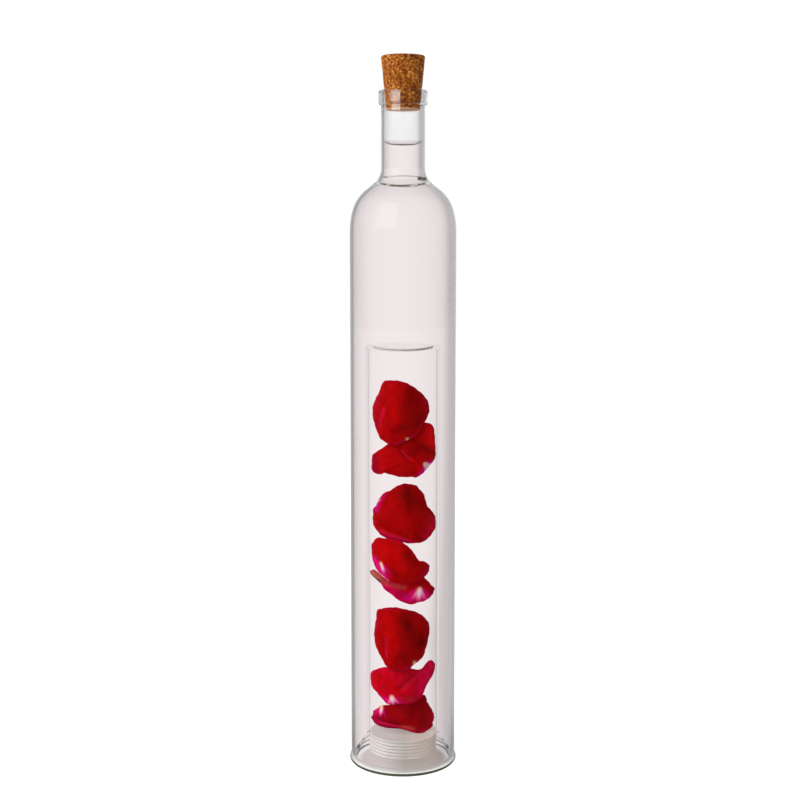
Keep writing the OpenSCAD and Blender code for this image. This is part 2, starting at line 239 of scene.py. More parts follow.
def glass_profile():
    """The fused glass's closed outline, from the foot's flat round the outside, and each span's slot."""
    foot = (FOOT_R - FOOT_EDGE_R, FOOT_EDGE_R)
    lip_r = LIP_R - LIP_EDGE_R
    lip = arc((lip_r, LIP_LOW_Z + LIP_EDGE_R), LIP_EDGE_R, -90, 0)
    lip += arc((lip_r, MOUTH_Z - LIP_EDGE_R), LIP_EDGE_R, 0, 90)
    mouth = (NECK_BORE_R + MOUTH_EDGE_R, MOUTH_Z - MOUTH_EDGE_R)
    corner = arc(tube_corner_at, TUBE_CORNER_R, 0, 90)
    inner_corner_at = (TUBE_BORE_R - TUBE_INNER_CORNER_R, CEILING_Z - TUBE_INNER_CORNER_R)
    inner_corner = arc(inner_corner_at, TUBE_INNER_CORNER_R, 90, 0)
    parts = [
        ("rim", [(foot[0] - FOOT_FLAT_W, 0.0)]),
        ("foot", arc(foot, FOOT_EDGE_R, *FOOT_EDGE_ANGLES)),
        ("rim", arc(foot, FOOT_EDGE_R, *FOOT_RIM_ANGLES, steps=3)),
        ("rim", [(BODY_R + FOOT_FILLET_OUT, FOOT_FILLET_Z)]),
        ("air", [(BODY_R, BODY_LOW_Z), (BODY_R, BODY_STRAIGHT_Z)]),
        ("air", shoulder_outside()),
        ("lip", [(NECK_R, LIP_GLASS_LOW_Z), (NECK_R, LIP_LOW_Z)] + lip),
        ("lip", arc(mouth, MOUTH_EDGE_R, 90, 180)),
        ("air", [(NECK_BORE_R, LIP_GLASS_LOW_Z), (NECK_BORE_R, LEVEL_RIM_Z)]),
        ("wet", shoulder_inside()[::-1] + [(BODY_BORE_R, BODY_LOW_Z)]),
        ("flare", flare_face(TUBE_WALL / 2)[:-1]),
        ("tube", flare_face(TUBE_WALL / 2)[-1:]),
        ("end", [(TUBE_R, corner[0][1] - TUBE_END_H)] + corner[:-1]),
        ("tube", corner[-1:] + [(0.0, TUBE_TOP_Z)]),
        ("tube", [(0.0, CEILING_Z)] + inner_corner),
        ("flare", flare_face(-TUBE_WALL / 2)[::-1]),
    ]
    profile, slots = [], []
    for part, points in parts:
        profile += points
        slots += [GLASS_SLOTS.index(part)] * len(points)
    return supported(profile, slots)


# Shader nodes

def new_material(name):
    material = bpy.data.materials.new(name)
    material.use_nodes = True
    return material, material.node_tree, material.node_tree.nodes["Principled BSDF"]


def node(tree, kind, **values):
    made = tree.nodes.new("ShaderNode" + kind)
    for key, value in values.items():
        setattr(made, key, value)
    return made


def fill(made, values):
    """Sets a node's inputs, each to a plain value or from another node's socket."""
    for key, value in values.items():
        socket = made.inputs[key]
        if isinstance(value, bpy.types.NodeSocket):
            made.id_data.links.new(value, socket)
        elif socket.type == "RGBA":
            socket.default_value = (*value, 1.0)
        else:
            socket.default_value = value
    return made


def tree_of(*values):
    """The tree of the first node socket among the values."""
    return next(value.id_data for value in values if isinstance(value, bpy.types.NodeSocket))


def ramp(fac, stops):
    """A colour ramp over fac with (place, colour) stops."""
    made = fill(node(tree_of(fac), "ValToRGB"), {"Fac": fac})
    elements = made.color_ramp.elements
    while len(elements) < len(stops):
        elements.new(0.5)
    for element, (place, colour) in zip(elements, stops):
        element.position = place
        element.color = (*colour, 1.0)
    return made.outputs["Color"]


def greys(*stops):
    return [(place, (v, v, v)) for place, v in stops]


def maths(op, a, b=None):
    made = node(tree_of(a, b), "Math", operation=op)
    return fill(made, {0: a} if b is None else {0: a, 1: b}).outputs[0]


def times(product, *others):
    for other in others:
        product = maths("MULTIPLY", product, other)
    return product


def between(value, low, high, start=0.0, end=1.0):
    """A smooth step from start to end while the value goes from low to high."""
    made = node(tree_of(value), "MapRange", interpolation_type="SMOOTHSTEP")
    fill(made, {"Value": value, "From Min": low, "From Max": high, "To Min": start, "To Max": end})
    return made.outputs["Result"]


def band(value, middle, half):
    """1 at the middle, falling to 0 at half to either side."""
    return times(between(value, middle - half, middle), between(value, middle, middle + half, 1, 0))


def noise(where, scale, detail=3.0, roughness=0.5):
    made = node(tree_of(where), "TexNoise")
    fill(made, {"Vector": where, "Scale": scale, "Detail": detail, "Roughness": roughness})
    return made.outputs["Fac"]


def mix_colour(kind, fac, a, b):
    made = node(tree_of(fac, a, b), "Mix", data_type="RGBA", blend_type=kind)
    return fill(made, {0: fac, 6: a, 7: b}).outputs[2]


def mix_shaders(fac, a, b):
    return fill(node(tree_of(a), "MixShader"), {0: fac, 1: a, 2: b}).outputs[0]


def show_surface(shading):
    fill(tree_of(shading).nodes["Material Output"], {"Surface": shading})


def object_place(tree):
    return node(tree, "TexCoord").outputs["Object"]


def object_axes(tree):
    return fill(node(tree, "SeparateXYZ"), {0: object_place(tree)}).outputs


def stretched(where, scale):
    made = node(tree_of(where), "Mapping")
    return fill(made, {"Vector": where, "Scale": scale}).outputs["Vector"]


def bump(shader, height, strength, distance):
    made = node(tree_of(height), "Bump")
    fill(made, {"Strength": strength, "Distance": distance, "Height": height})
    fill(shader, {"Normal": made.outputs["Normal"]})


def shine_through(shader, colour, share):
    """Shows the shader with a share of light that comes through from behind."""
    thin = fill(node(tree_of(colour), "BsdfTranslucent"), {"Color": colour})
    show_surface(mix_shaders(share, shader.outputs[0], thin.outputs[0]))


# The glass's materials

FRONT_FADE = (-2.5 * MM, -0.5 * MM)
# The brown of the weld's painted shade
WELD_SHADE = (0.02, 0.018, 0.006)
FAINT_GREEN = (0.93, 0.92, 0.9)
WHITE = (1.0, 1.0, 1.0)


def in_front(y):
    return between(y, *FRONT_FADE, 1, 0)


def weld_lines(tree, colour):
    """Thin brown lines of painted shade inside the wall where the neck is welded on, standing in for the
    dark edges of the weld's ridge.
    """
    high_z, high_half, high_share = 303.4 * MM, 0.5 * MM, 0.9
    low_z, low_half, low_share = 298.1 * MM, 0.95 * MM, 2.8
    bow_per_m = 9.0
    deeper_x, deeper_half = 4.2 * MM, 5 * MM
    side_patch_x, side_patch_half_w, side_patch_z, side_patch_half_h = -8.5 * MM, 2.4 * MM, 302.8 * MM, 0.9 * MM
    x, y, z = object_axes(tree)
    bow = times(x, x, bow_per_m)
    high_line = band(maths("ADD", z, bow), high_z, high_half)
    low_line = band(maths("SUBTRACT", z, bow), low_z, low_half)
    deeper_line = maths("ADD", 0.5, band(x, deeper_x, deeper_half))
    low_line = times(low_line, deeper_line, low_share)
    side_patch = times(band(x, side_patch_x, side_patch_half_w), band(z, side_patch_z, side_patch_half_h))
    mask = maths("MAXIMUM", times(high_line, high_share), low_line)
    mask = maths("MINIMUM", maths("MAXIMUM", mask, side_patch), 1.0)
    uneven = noise(stretched(object_place(tree), (350, 350, 900)), 1.0)
    mask = times(mask, in_front(y), between(uneven, 0.35, 0.55, 0.5, 1.0))
    return mix_colour("MULTIPLY", mask, colour, WELD_SHADE)


def weld_shade_patch(tree, colour):
    """Painted shade: an olive patch on the outside, at the right of the weld's front."""
    blotch_z, half_h, strength = 302.2 * MM, 1.2 * MM, 2.6
    left_fade = (6.7 * MM, 7.7 * MM)
    right_fade = (11.2 * MM, 12.6 * MM)
    x, y, z = object_axes(tree)
    across = times(between(x, *left_fade), between(x, *right_fade, 1, 0))
    upright = maths("MINIMUM", times(band(z, blotch_z, half_h), strength), 1.0)
    uneven = noise(stretched(object_place(tree), (600, 600, 1200)), 1.0)
    mask = times(across, upright, in_front(y), between(uneven, 0.3, 0.5, 0.75, 1.0))
    return mix_colour("MULTIPLY", mask, colour, WELD_SHADE)


def clear_at_the_back(tree, colour):
    """The foot's edge is painted dark green where it's looked into from in front, as shade for the dark
    surround it shows, and clear at the back.
    """
    back_fade = (-4 * MM, 10 * MM)
    back = between(object_axes(tree)["Y"], *back_fade)
    return mix_colour("MIX", back, colour, FAINT_GREEN)


def clear_above(tree, colour):
    """The flare's painted edge shade shows only low down, near the foot."""
    height_fade = (7 * MM, 9 * MM)
    high = between(object_axes(tree)["Z"], *height_fade)
    return mix_colour("MIX", high, colour, WHITE)


def end_shade(tree, colour):
    """A crescent of olive painted shade where the front of the inner tube's end rounds over, darkest at the
    right.
    """
    crescent_z, half_h, bow_per_m = 217.2 * MM, 1.0 * MM, 4.0
    front_fade = (-4 * MM, -2 * MM)
    shading_reach = (-16 * MM, 17 * MM)
    tip_fade = (14 * MM, 16.5 * MM)
    x, y, z = object_axes(tree)
    bow = times(x, x, bow_per_m)
    crescent = band(maths("SUBTRACT", z, bow), crescent_z, half_h)
    tips = between(maths("ABSOLUTE", x), *tip_fade, 1, 0)
    mask = times(crescent, tips, between(y, *front_fade, 1, 0))
    olive = ramp(between(x, *shading_reach), [
        (0.0, (0.4, 0.39, 0.35)), (0.5, (0.13, 0.12, 0.07)),
        (0.85, (0.01, 0.01, 0.005)), (1.0, (0.03, 0.03, 0.02)),
    ])
    return mix_colour("MULTIPLY", mask, colour, olive)


def glass_material(name, ior, edge_stops, painted_shade=None, coat_ior=None, mirror=0.5):
    """Clear glass whose tint darkens where it's seen edge on, a painted shade for the dark edges that
    refraction shows, and that lets light in to what it holds.
    """
    material, tree, shader = new_material(name)
    fill(shader, {
        "Transmission Weight": 1.0, "IOR": ior, "Roughness": 0.0, "Specular IOR Level": mirror,
    })
    if coat_ior:
        fill(shader, {"Coat Weight": 1.0, "Coat IOR": coat_ior, "Coat Roughness": 0.0})
    weight = fill(node(tree, "LayerWeight"), {"Blend": 0.5})
    # Painted shade: the tint darkens towards edge on, and a mark of painted shade by place may then be laid
    # on it
    colour = ramp(weight.outputs["Facing"], edge_stops)
    if painted_shade:
        colour = painted_shade(tree, colour)
    fill(shader, {"Base Color": colour})
    path = node(tree, "LightPath").outputs
    lit = maths("MAXIMUM", path["Is Shadow Ray"], path["Is Diffuse Ray"])
    clear = node(tree, "BsdfTransparent")
    show_surface(mix_shaders(lit, shader.outputs[0], clear.outputs[0]))
    return material


GLASS_SLOTS = ["air", "wet", "foot", "rim", "lip", "flare", "tube", "end"]
WALL_IOR, FOOT_IOR, LIP_COAT_IOR = 1.2, 1.3, 1.66
FLARE_IOR, TUBE_IOR, END_IOR = 1.015, 1.01, 1.012
# Each ramp goes from face on to edge on: the glass's and the drink's own tints, darkened towards edge on as
# painted shade for dark edges and the meniscus's dark line
wall_stops = greys((0.0, 1.0), (0.17, 0.975), (0.33, 0.9), (0.5, 0.86), (1.0, 0.86))
wet_stops = greys((0.0, 1.0), (1.0, 0.97))
# Painted shade: the foot's edge is near black green
foot_edge_shade_stops = [
    (0.0, (0.012, 0.015, 0.005)), (0.5, (0.005, 0.006, 0.002)), (1.0, (0.0015, 0.002, 0.0005)),
]
rim_stops = [
    (0.0, (1.0, 1.0, 0.98)), (0.5, (0.9, 0.92, 0.86)), (0.8, (0.5, 0.53, 0.42)), (1.0, (0.2, 0.22, 0.15)),
]
lip_stops = greys((0.0, 1.0), (0.5, 0.98), (1.0, 0.93))
flare_stops = greys((0.0, 1.0), (0.75, 0.96), (0.9, 0.6), (1.0, 0.02))
tube_stops = greys((0.0, 1.0), (0.6, 0.99), (1.0, 0.88))
end_stops = greys((0.0, 1.0), (0.6, 0.99), (1.0, 0.8))
surface_stops = greys((0.0, 0.92), (0.75, 0.72), (0.87, 0.03), (1.0, 0.01))
drink_stops = [(0.0, (0.985, 0.905, 0.915)), (1.0, (0.95, 0.86, 0.87))]
glass_materials = [
    glass_material("clear_glass_air", WALL_IOR, wall_stops, weld_shade_patch),
    glass_material("clear_glass_wet", WALL_IOR, wet_stops, weld_lines),
    glass_material("foot_glass_edge", FOOT_IOR, foot_edge_shade_stops, clear_at_the_back),
    glass_material("foot_glass_air", FOOT_IOR, rim_stops),
    glass_material("clear_glass_lip", WALL_IOR, lip_stops, coat_ior=LIP_COAT_IOR),
    glass_material("clear_glass_flare", FLARE_IOR, flare_stops, clear_above),
    glass_material("clear_glass_tube", TUBE_IOR, tube_stops),
    glass_material("clear_glass_end", END_IOR, end_stops, end_shade),
]
drink_materials = [
    glass_material("drink_surface", 1.0, surface_stops, mirror=0.0),
    glass_material("drink_side", 1.0, drink_stops, mirror=0.0),
    glass_material("drink_inside", 1.0, greys((0.0, 1.0), (1.0, 1.0)), mirror=0.0),
]


# The glass

glass_outline, glass_slots = glass_profile()
bottle_glass = turned("bottle_glass", glass_outline, glass_materials, glass_slots)
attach(bottle_glass, "bottle")
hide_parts("outer_body", "weld_ring", "neck_tube", "lip_ring", "inner_tube", "foot_ring")


# The drink

def drink_profile():
    """The drink as a closed outline just inside the glass's wet faces, and each span's slot."""
    side = [(BODY_BORE_R - DRINK_INSET, BODY_LOW_Z + DRINK_INSET)]
    side += [(r - DRINK_INSET, z) for r, z in shoulder_inside()]
    surface = []
    for i in range(SURFACE_STEPS + 1):
        r = (NECK_BORE_R - DRINK_INSET) * (1 - (i / SURFACE_STEPS) ** 2)
        surface.append((r, LEVEL_Z + MENISCUS_H * math.exp((r - NECK_BORE_R) / CAPILLARY_L)))
    tube = [(r + DRINK_INSET, z) for r, z in flare_face(TUBE_WALL / 2)]
    tube += arc(tube_corner_at, TUBE_CORNER_R + DRINK_INSET, 0, 90)
    tube += [(0.0, TUBE_TOP_Z + DRINK_INSET)]
    slots = [1] * len(side) + [0] * (len(surface) - 1) + [2] * (len(tube) + 1)
    return supported(side + surface + tube[::-1], slots)


drink_outline, drink_slots = drink_profile()
drink = turned("drink", drink_outline, drink_materials, drink_slots)
drink.visible_shadow = False
drink.visible_diffuse = False
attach(drink, "bottle")
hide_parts("liquid_fill")


# The cork

CORK_FIT = 0.05 * MM
CORK_WORN_R = 0.9 * MM
CORK_FOOT_R = 0.5 * MM
CORK_TAPER = 5.1
CORK_TURN_STEPS = 192
CORK_SIDE_STEPS = 72
CORK_FOOT_STEPS = 16
CORK_TOP_STEPS = 20
COARSE_GRAINS_PER_M = 1150.0
FINE_GRAINS_PER_M = 2200.0
WARP_PER_M = 900.0
WARP = 0.9 * MM
ROUGH_DENT, ROUGH_PER_M = 0.05 * MM, 420
FINE_DENT, FINE_PER_M = 0.035 * MM, 1300
PIT_DENT, PITS_PER_M, PIT_RARITY = 0.35 * MM, 260, 0.42
PIT_SHIFT = Vector((7, 3, 1))
PALE_EDGE_H = (0.4 * MM, 1.1 * MM)
PALE_CORK = (0.85, 0.56, 0.38)


def cork_surface():
    """Pressed cork: granules of many browns with dark seams and specks between them."""
    material, tree, shader = new_material("pressed_cork")
    where = object_place(tree)
    warp = fill(node(tree, "TexNoise"), {"Scale": WARP_PER_M, "Vector": where})
    warped = node(tree, "VectorMath", operation="MULTIPLY_ADD")
    fill(warped, {0: warp.outputs["Color"], 1: (WARP, WARP, WARP), 2: where})

    def grains(per_m, feature="F1"):
        made = node(tree, "TexVoronoi", feature=feature)
        return fill(made, {"Vector": warped.outputs[0], "Scale": per_m}).outputs

    def picked(per_m):
        return fill(node(tree, "SeparateColor"), {0: grains(per_m)["Color"]}).outputs[0]

    seam = grains(COARSE_GRAINS_PER_M, "DISTANCE_TO_EDGE")["Distance"]
    colour = ramp(picked(COARSE_GRAINS_PER_M), [
        (0.0, (0.12, 0.022, 0.001)), (0.2, (0.3, 0.065, 0.003)), (0.5, (0.42, 0.112, 0.005)),
        (0.8, (0.56, 0.18, 0.012)), (1.0, (0.8, 0.36, 0.06)),
    ])
    speck = ramp(picked(FINE_GRAINS_PER_M), [
        (0.0, (0.35, 0.3, 0.25)), (0.18, (0.8, 0.78, 0.75)), (0.7, WHITE), (1.0, (1.35, 1.5, 2.2)),
    ])
    colour = mix_colour("MULTIPLY", 0.8, colour, speck)
    dark = ramp(seam, [(0.0, (0.35, 0.3, 0.28)), (0.12, WHITE)])
    colour = mix_colour("MULTIPLY", 0.7, colour, dark)
    broad = ramp(noise(where, 160.0), [(0.3, (0.75, 0.72, 0.7)), (0.7, (1.15, 1.15, 1.15))])
    colour = mix_colour("MULTIPLY", 1.0, colour, broad)
    # The cork is paler near its bottom edge
    edge = [CORK_LOW_Z + h for h in PALE_EDGE_H]
    pale_band = between(object_axes(tree)["Z"], *edge, 0.55, 0)
    colour = mix_colour("MIX", pale_band, colour, PALE_CORK)
    fill(shader, {"Base Color": colour, "Roughness": 0.85, "Specular IOR Level": 0.25})
    grit = noise(where, 4200.0, roughness=0.6)
    height = maths("ADD", times(seam, 3.0), times(grit, 0.5))
    bump(shader, height, strength=0.5, distance=0.15 * MM)
    return material


def cork_dent(at):
    """How deep the skin is dented at a place: roughness of two sizes, and a few pits."""
    rough = ROUGH_DENT * (1 + noise_of.noise(at * ROUGH_PER_M))
    fine = FINE_DENT * (1 + noise_of.noise(at * FINE_PER_M))
    pit = PIT_DENT * max(0.0, noise_of.noise(at * PITS_PER_M + PIT_SHIFT) - PIT_RARITY)
    return rough + fine + pit


def build_cork():
    """The tapered cork, its skin dented a little between the granules."""
    low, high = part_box("cork_stopper")
    slope = math.tan(math.radians(CORK_TAPER))
    # The side's line leaves the mouth at the neck's bore
    low_r = NECK_BORE_R - CORK_FIT - (MOUTH_Z - low.z) * slope
    top_r = low_r + (high.z - low.z) * slope
    foot = arc((low_r - CORK_FOOT_R, low.z + CORK_FOOT_R), CORK_FOOT_R, -90, -CORK_TAPER, 6)
    side_light = arc((top_r - CORK_WORN_R, high.z - CORK_WORN_R), CORK_WORN_R, -CORK_TAPER, 90, 12)
    profile = [(foot[0][0] * k / CORK_FOOT_STEPS, low.z) for k in range(CORK_FOOT_STEPS)]
    profile += foot
    profile += [part_way(foot[-1], side_light[0], k / CORK_SIDE_STEPS) for k in range(1, CORK_SIDE_STEPS)]
    profile += side_light
    profile += [(side_light[-1][0] * (1 - k / CORK_TOP_STEPS), high.z) for k in range(1, CORK_TOP_STEPS + 1)]
    cork = turned("cork", profile, [cork_surface()], closed=False, steps=CORK_TURN_STEPS)
    end_h = 0.3 * MM
    for vertex in cork.data.vertices:
        at = vertex.co.copy()
        dent = cork_dent(at)
        out = Vector((at.x, at.y, 0))
        if out.length > 1e-6 and low.z + end_h < at.z < high.z - end_h:
            vertex.co = at - out.normalized() * dent
        elif at.z >= high.z - end_h:
            vertex.co.z = at.z - dent
        else:
            vertex.co.z = at.z + dent
    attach(cork, "cork")
    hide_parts("cork_stopper")


build_cork()


# The ribbed plug

def plug_surface():
    """Cloudy soft polymer with a fine moulded grain, and a tone from left to right that is painted light
    and shade.
    """
    material, tree, shader = new_material("cloudy_polymer")
    side_light_reach = (-10 * MM, 12 * MM)
    where = object_place(tree)
    broad = noise(where, 120.0, 2.0)
    colour = ramp(broad, [(0.3, (0.76, 0.7, 0.65)), (0.7, (0.84, 0.79, 0.74))])
    across = between(object_axes(tree)["X"], *side_light_reach)
    # Painted light and shade: lighter at the right, cooler at the left, darkest near the middle
    side_light = ramp(across, [
        (0.0, (0.82, 0.84, 0.85)), (0.45, (0.74, 0.77, 0.76)), (1.0, (1.08, 1.06, 1.02)),
    ])
    colour = mix_colour("MULTIPLY", 1.0, colour, side_light)
    fill(shader, {"Base Color": colour, "Roughness": 0.42, "Specular IOR Level": 0.4})
    bump(shader, noise(where, 2600.0), strength=0.2, distance=0.05 * MM)
    shine_through(shader, colour, 0.25)
    return material


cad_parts["base_plug"].data.materials.clear()
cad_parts["base_plug"].data.materials.append(plug_surface())


# Petals

def petal_surface():
    """Soft petal skin: its painted colours and fine veins that fan out from the claw."""
    material, tree, shader = new_material("rose_petal_skin")
    # The petal_colour attribute holds the petals' colours with their painted light and shade
    paint = node(tree, "Attribute", attribute_name="petal_colour").outputs["Color"]
    leaf = node(tree, "Attribute", attribute_name="leaf").outputs["Vector"]
    veins = noise(stretched(leaf, (22.0, 0.12, 1.0)), 1.0, 4.0, 0.65)
    cells = noise(stretched(object_place(tree), (2600, 2600, 2600)), 1.0, 2.0)
    mottle = noise(stretched(object_place(tree), (330, 330, 330)), 1.0)
    colour = mix_colour("MULTIPLY", 1.0, paint, ramp(veins, greys((0.3, 0.8), (0.7, 1.14))))
    colour = mix_colour("MULTIPLY", 1.0, colour, ramp(mottle, greys((0.3, 0.84), (0.7, 1.12))))
    fill(shader, {"Base Color": colour, "Roughness": 0.62, "Specular IOR Level": 0.03})
    height = maths("ADD", veins, times(cells, 0.25))
    bump(shader, height, strength=0.35, distance=0.12 * MM)
    shine_through(shader, colour, 0.3)
    return material


PETAL_T = 0.34 * MM
PETAL_GAP = 0.35 * MM
PETAL_REACH = TUBE_BORE_R - PETAL_GAP - PETAL_T / 2
PETAL_SIDES = 180
PETAL_RINGS = 36
OUTLINE_STEPS = 16
RING_POWER = 0.9
RIM_THIN_SHARE = 0.55
CUP_SHARE = 0.08

# Several of these colours are painted light and shade: the bright and live reds and the mid red paint
# light, the lobe crimson is a crimson brightened as painted light, the deep red paints shade, and the pink,
# fold rose and soft red lines are painted highlights
SHADED_RED = (0.24, 0.0, 0.0005)
DARK_RED = (0.25, 0.0, 0.003)
MID_RED = (0.34, 0.0, 0.004)
RED = (0.5, 0.0, 0.001)
ROSE_RED = (0.54, 0.0, 0.014)
LIT_RED = (0.62, 0.0, 0.001)
LIVE_RED = (0.76, 0.0, 0.004)
RIM_RED = (0.5, 0.001, 0.05)
CRIMSON = (0.58, 0.001, 0.035)
DARK_CRIMSON = (0.3, 0, 0.015)
SOFT_CRIMSON = (0.5, 0.0, 0.02)
RIM_CRIMSON = (0.5, 0, 0.03)
LIVE_CRIMSON = (0.8, 0, 0.035)
LOBE_CRIMSON = (0.74, 0.002, 0.075)
PLUM = (0.5, 0.0, 0.07)
DARK_PLUM = (0.28, 0.0, 0.05)
HIGHLIGHT_PINK = (0.64, 0.01, 0.045)
FOLD_HIGHLIGHT_PINK = (0.64, 0.003, 0.035)
FOLD_HIGHLIGHT_ROSE = (0.5, 0.012, 0.04)
DUSTY_ROSE = (0.46, 0.05, 0.055)
BROWNISH_ROSE = (0.45, 0.02, 0.03)
HIGHLIGHT_RED = (0.55, 0.06, 0.05)
MAGENTA = (0.62, 0.001, 0.09)
HOT_MAGENTA = (0.78, 0.004, 0.27)
WHITE_PINK = (0.92, 0.78, 0.86)
YELLOW = (0.86, 0.66, 0.2)
BROWN = (0.36, 0.11, 0.09)
# Dark lines along the lower edge of a petal's tip
TIP_EDGE_BROWN = (0.12, 0.01, 0.01)
TIP_EDGE_BLACK = (0.04, 0.01, 0.01)
